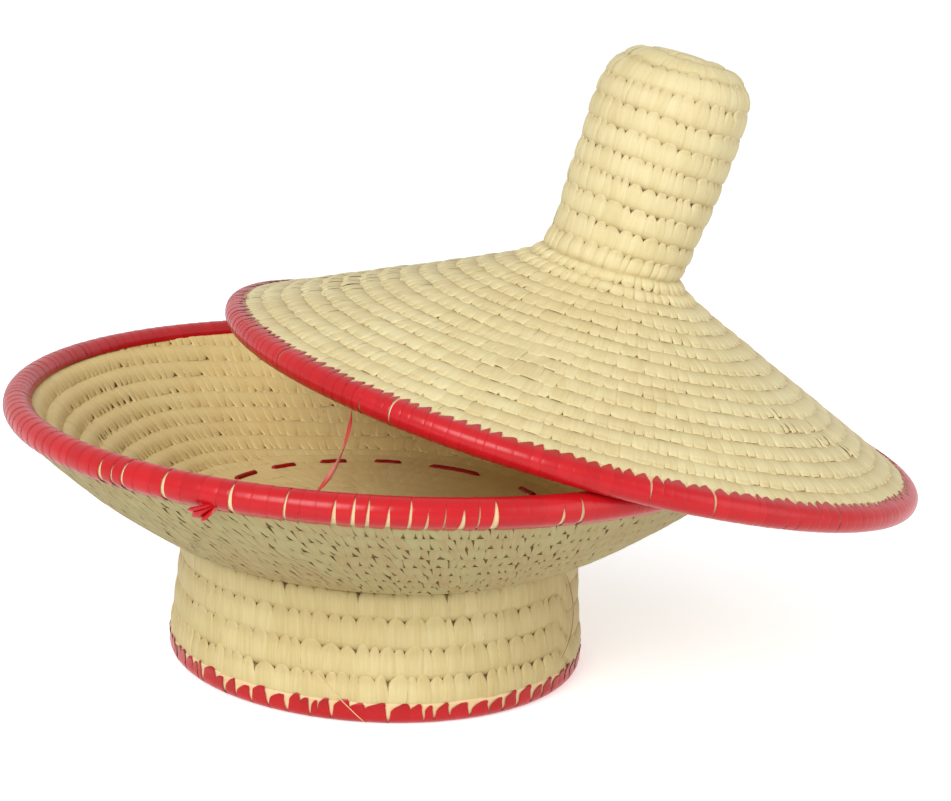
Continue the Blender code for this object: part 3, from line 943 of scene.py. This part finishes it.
def build_bowl():
    floor_rounds = round(np.interp(floor_middle + 0.001, bowl_coil.line[:, 1], bowl_coil.rounds))
    end = bowl_coil.count
    wall_spots = ((30, 12, 75, 60, 1.3, 0.0), (165, 13.2, 12, 2.2, 0.0, 0.8), (150, 14.8, 8, 1.6, 0.0, 0.8))
    inside = Stitch(
        0.0042, 0.0016, overlap=0.12, edge=0.00006, far_edge=0.00002, lap=0.00003, sink=0.00006, dip=0.0004,
        tuck=0.0003, spread=0.00005, tip=0.10, tip_spread=0.5, arch=0.2, tip_width=0.7, end_spread=0.15,
        slant=0.0, slant_spread=0.05, skew=0.02, uneven=0.3, gap_chance=0.35, gap=0.28, gap_reach=0.4,
        lift=0.0001, fade=0.3, spots=wall_spots, **coarse)
    level = dict(
        overlap=0.22, edge=0.00004, far_edge=0.0, lap=0.00002, sink=0.00004, dip=0.0001, tuck=0.0001,
        spread=0.00002, tip=0.05, arch=0.14, tip_width=1.0, slant=0.0, slant_spread=0.03, gap_chance=0.0,
        lift=0.00005, fade=0.3, spots=((0, 0, 720, 60, 1.9, 0.0),), **coarse)
    floor_start = Stitch(0.0018, 0.0003, **level)
    floor = Stitch(0.0042, 0.0003, **level)
    outside = Stitch(
        0.0032, 0.0002, overlap=0.05, edge=0.00006, far_edge=0.0, lap=0.00003, sink=0.00006, dip=0.0001,
        tuck=0.0002, tip=0.0, tail=0.04, tip_width=0.92, arch=0.2, arch_power=1.0, slant=-0.35,
        slant_spread=0.25, uneven=0.3, spread=0.00004, gap_chance=0.95, gap=0.27, gap_reach=0.9, fade=0.4,
        lift=0.00003, along=slit_along, across=few_across)

    strips = laid(bowl_coil, 1, (0, 1, floor_start, 20), (1, floor_rounds, floor, 21))
    floor_top = bowl_piece("bowl_floor_stitches", strips, bowl_inside_straw, "bowl_straw")
    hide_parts("bowl_floor")
    strips = laid(bowl_coil, -1, (0, floor_rounds, outside, 22))
    bowl_piece("bowl_floor_underside", strips, bowl_outside_straw, "bowl_straw")
    strips = laid(bowl_coil, 1, (floor_rounds, end, inside, 23))
    wall = bowl_piece("bowl_wall_inside", strips, bowl_inside_straw, "bowl_straw")
    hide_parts("bowl_wall")
    strips = laid(bowl_coil, -1, (floor_rounds, end, outside, 24))
    bowl_piece("bowl_wall_outside", strips, bowl_outside_straw, "bowl_straw")
    bundle = packed_grass(bowl_coil, 0, end, inside, outside, (0.0006, 0.0004))
    bowl_piece("bowl_coil_grass", bundle, bowl_grass, "core_grass")


def build_foot():
    end = foot_coil.count
    outer = Stitch(
        0.0053, 0.0013, crest=0.45, fullness=3.2, overlap=0.1, bridge=0.6, tip=0.22, tip_spread=0.4,
        tip_width=0.2, end_spread=0.15, arch=0.44, arch_power=1.9, skew=0.02, uneven=0.4, edge=0.00020,
        far_edge=0.00003, lap=0.00004, fade=0.5)
    inner = Stitch(0.0072, 0.0014, **coarse)
    wall = bowl_piece("foot_stitches", laid(foot_coil, 1, (0, end, outer, 31)), foot_straw, "natural_straw")
    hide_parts("foot_wall")
    bowl_piece("foot_inside_stitches", laid(foot_coil, -1, (0, end, inner, 32)), foot_straw, "natural_straw")
    bundle = packed_grass(foot_coil, 0, end, outer, inner, (0.0008, 0.0008))
    bowl_piece("foot_coil_grass", bundle, lid_grass, "core_grass")


def build_edge(name, middle, into, sizes, wrap, under, add_piece, nodes, seed, shorter=0.0):
    """Red leaf wound over an edge, and the pale leaf under it, whose outer leg may be shorter."""
    shape = wind_leaf(middle, into, round_section(*sizes), wrap, seed)
    leaf = add_piece(name + "_red_leaf", shape, red_leaf, "red_leaf")
    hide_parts(nodes[0])
    roll, outer_leg, *others = (size - lining_depth for size in sizes)
    shape = wind_leaf(middle, into, round_section(roll, outer_leg - shorter, *others), under, seed + 1)
    lining = add_piece(name + "_pale_leaf", shape, cream_leaf, "core_grass")
    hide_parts(nodes[1])


def build_edges():
    rim_slits = [(-97, 12, 1.0)] + [(degrees, 1.4, 0.95) for degrees in (-139, -136, -128, -119, -73, -68)]
    bowl_wrap = Wrap(
        0.0058, overlap=0.12, lap=0.00006, tilt=0.00001, crease=0.00001, tooth=0.08, tooth_width=0.72,
        tooth_power=0.5, tooth_lean=0.0, split=0.06, gape=0.42, gape_reach=0.70, split_spots=rim_slits)
    foot_wrap = Wrap(
        0.0056, overlap=0.15, tooth=0.12, tooth_width=0.18, tooth_power=0.5, tooth_lean=0.3, floor=0.00005,
        split=0.6, gape=0.34, gape_reach=0.38, reach_spread=0.10, uneven=0.5)
    lid_wrap = Wrap(
        0.0044, overlap=0.08, lap=0.00005, tilt=0.00002, crease=0.00001, tooth=0.16, tooth_width=0.03,
        tooth_power=1.0, tooth_lean=0.3, inner_gape=0.85, gape=0.26, gape_reach=0.70, uneven=0.45,
        reach_spread=0.06)
    plain = dict(overlap=0.3, tooth=0.02, tooth_width=0.9, split=0.0, rows=18)
    under = Wrap(0.009, **plain)
    foot_under = Wrap(0.009, floor=0.0003, **plain)
    build_edge("bowl_rim", rim, wall_slope,
               (rim_roll, 0.0052, wall_half + 0.0004, 0.0044, wall_half + 0.0002),
               bowl_wrap, under, bowl_piece, ("bowl_rim_binding", "bowl_rim_core"), 41)
    build_edge("foot_base", (foot_radius, foot_roll - foot_flat), (0.0, 1.0),
               (foot_roll, 0.0058, foot_half + 0.0005, 0.0040, foot_half),
               foot_wrap, foot_under, bowl_piece, ("foot_base_binding", "foot_base_core"), 43)
    build_edge("lid_rim", lid_rim, cone_slope,
               (lid_roll, 0.0060, cone_half + 0.0003, 0.0050, cone_half),
               lid_wrap, under, lid_piece, ("lid_rim_binding", "lid_rim_core"), 45, shorter=0.0005)


def around(radius, height, degrees):
    """A point by its place round the bowl's axis."""
    angle = math.radians(degrees)
    return radius * math.cos(angle), radius * math.sin(angle), height


def build_lashing():
    """Red running stitch that holds the foot on: the dashes that show on the floor."""
    rng = np.random.default_rng(51)
    radius = floor_radius - floor_pitch + 0.0006
    shapes = []
    for number in range(dash_count):
        if number == long_dash + 1:
            continue
        first = dash_start - number * 360 / dash_count
        long = rng.uniform(9.5, 13.0) * (long_dash_share if number == long_dash else 1.0)
        route = [around(radius + 0.0004 * math.sin(number + turn), dash_height, first - turn)
                 for turn in np.linspace(0, long, 5)]
        shapes.append(lay_ribbon(route, dash_width, dash_width, ends=0.12))
    dashes = bowl_piece("floor_lashing_dashes", joined(shapes), dark_red_leaf, "red_leaf")
    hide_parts("floor_lashing")


def build_strand():
    """The loose end of red leaf that hangs from the lid's rim."""
    angle = math.radians(strand_degrees)
    down = np.array([math.sin(lid_tilt), 0.0, -math.cos(lid_tilt)])
    start = np.array([lid_radius * math.cos(angle), lid_radius * math.sin(angle), 0.0]) + down * lid_roll
    route = []
    for share in np.linspace(0.0, 1.0, 7):
        spot = start + down * strand_length * share
        spot[0] -= strand_swing * share ** 2
        spot[1] += 0.0008 * math.sin(7 * share)
        route.append(spot)
    ribbon = lay_ribbon(route, strand_width, strand_thick, twist=6.0, upward=(0.6, -0.8, 0.0), ends=0.3)
    strand = lid_piece("hanging_strand", ribbon, pink_leaf, "red_leaf")
    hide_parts("loose_red_strand")


def build_loose_ends():
    """A red wisp at the bowl's rim and two fibres on the foot. Places are (radius, height, degrees)."""
    wisp_height = rim_height - wisp_drop
    root = (0.1468, 0.0018, -119.6)
    tufts = (((0.1500, 0.0004, -121.2), (0.1500, -0.0014, -123.2), 0.0036, 0.0018, 0.5),
             ((0.1494, -0.0012, -121.0), (0.1490, -0.0036, -122.6), 0.0042, 0.0016, 0.9),
             ((0.1484, -0.0020, -120.3), (0.1478, -0.0046, -121.6), 0.0034, 0.0014, -0.8))
    wisps = []
    for bend, end, width, thick, twist in tufts:
        route = [around(radius, wisp_height + rise, degrees) for radius, rise, degrees in (root, bend, end)]
        wisps.append(lay_ribbon(route, width, thick, twist=twist, ends=0.3))
    bowl_piece("rim_wisp", joined(wisps), red_leaf, "red_leaf")

    front = [(foot_belly + 0.0006, 0.0200, -112.5), (foot_belly + 0.0009, 0.0125, -107.0),
             (foot_belly + 0.0012, 0.0052, -101.5), (foot_belly + 0.0010, 0.0015, -98.5)]
    side = [(0.0803, 0.0470, -33), (0.0810, 0.0390, -29), (0.0820, 0.0290, -27), (0.0830, 0.0200, -31),
            (0.0835, 0.0140, -38)]
    for name, places, finish in (("foot_fibre", front, cream_leaf), ("foot_side_fibre", side, brown_leaf)):
        ribbon = lay_ribbon([around(*place) for place in places], 0.0004, 0.0003)
        bowl_piece(name, ribbon, finish, "natural_straw")


build_lid()
build_bowl()
build_foot()
build_edges()
build_lashing()
build_strand()
build_loose_ends()


# Stage, light and camera

def seen_share(tree):
    """1 for what the camera sees, directly or in a gloss or through glass, and 0 for what only lights."""
    path = place_node(tree, "ShaderNodeLightPath").outputs
    either = worked(tree, "MAXIMUM", path["Is Camera Ray"], path["Is Glossy Ray"])
    return worked(tree, "MAXIMUM", either, path["Is Transmission Ray"])


def show_instead(tree, plain, shown, end):
    """Give an end node one shader for what is seen and another for what only lights."""
    inputs = {0: seen_share(tree), 1: plain.outputs[0], 2: shown.outputs[0]}
    seen = place_node(tree, "ShaderNodeMixShader", inputs)
    tree.links.new(seen.outputs[0], tree.nodes[end].inputs["Surface"])


white = (1.0, 1.0, 1.0, 1.0)


def build_stage():
    """A plain pale floor that keeps the basket's shadow."""
    bpy.ops.mesh.primitive_plane_add(size=6.0, location=(0.0, 0.0, 0.0))
    floor = bpy.context.object
    floor.name = "studio_floor"
    finish, tree, shader = new_material("studio_floor")
    shader.inputs["Base Color"].default_value = (0.92, 0.92, 0.92, 1.0)
    shader.inputs["Roughness"].default_value = 0.9
    glow = place_node(tree, "ShaderNodeEmission", {"Color": white, "Strength": 0.55})
    both = place_node(tree, "ShaderNodeAddShader", {0: shader.outputs[0], 1: glow.outputs[0]})
    show_instead(tree, shader, both, "Material Output")
    floor.data.materials.append(finish)


def build_world():
    """A white surround, which lights the basket more weakly than it shows."""
    world = bpy.data.worlds.new("studio_world")
    world.use_nodes = True
    tree = world.node_tree
    background = tree.nodes["Background"]
    background.inputs["Color"].default_value = white
    background.inputs["Strength"].default_value = 0.47
    shown = place_node(tree, "ShaderNodeBackground", {"Color": white, "Strength": 1.0})
    show_instead(tree, background, shown, "World Output")
    bpy.context.scene.world = world


def add_lamp(name, place, size, power):
    """A soft square lamp that faces the basket."""
    lamp = bpy.data.lights.new(name, "AREA")
    lamp.shape = "SQUARE"
    lamp.size = size
    lamp.energy = power
    holder = bpy.data.objects.new(name, lamp)
    holder.location = place
    aim = Vector((0.0, 0.0, 0.10)) - Vector(place)
    holder.rotation_euler = aim.to_track_quat("-Z", "Y").to_euler()
    bpy.context.scene.collection.objects.link(holder)


def build_camera():
    """The photograph's view: pitch and yaw are taken in a frame turned about the bowl's axis."""
    turn = Matrix.Rotation(-camera_turn, 3, "Z")
    level = Vector((math.cos(camera_yaw), -math.sin(camera_yaw), 0.0))
    ahead = Vector((math.sin(camera_yaw), math.cos(camera_yaw), 0.0))
    forward = ahead * math.cos(camera_pitch) - Vector((0.0, 0.0, math.sin(camera_pitch)))
    upright = level.cross(forward)
    right = math.cos(camera_roll) * level + math.sin(camera_roll) * upright
    up = math.cos(camera_roll) * upright - math.sin(camera_roll) * level
    lens = bpy.data.cameras.new("photo_view")
    lens.sensor_fit = "HORIZONTAL"
    lens.sensor_width = 36.0
    lens.lens = focal_pixels / picture_wide * lens.sensor_width
    camera = bpy.data.objects.new("photo_view", lens)
    facing = Matrix((turn @ right, turn @ up, turn @ -forward)).transposed()
    spot = turn @ Vector((0.0, -camera_distance, camera_height)) + bowl_place.translation
    camera.matrix_world = Matrix.Translation(spot) @ facing.to_4x4()
    bpy.context.scene.collection.objects.link(camera)
    bpy.context.scene.camera = camera


build_stage()
build_world()
add_lamp("key_lamp", (-0.9, -1.35, 1.1), 0.9, 25.0)
add_lamp("fill_lamp", (1.2, -0.9, 0.7), 1.2, 7.5)
build_camera()
bpy.context.scene.view_settings.view_transform = "Standard"
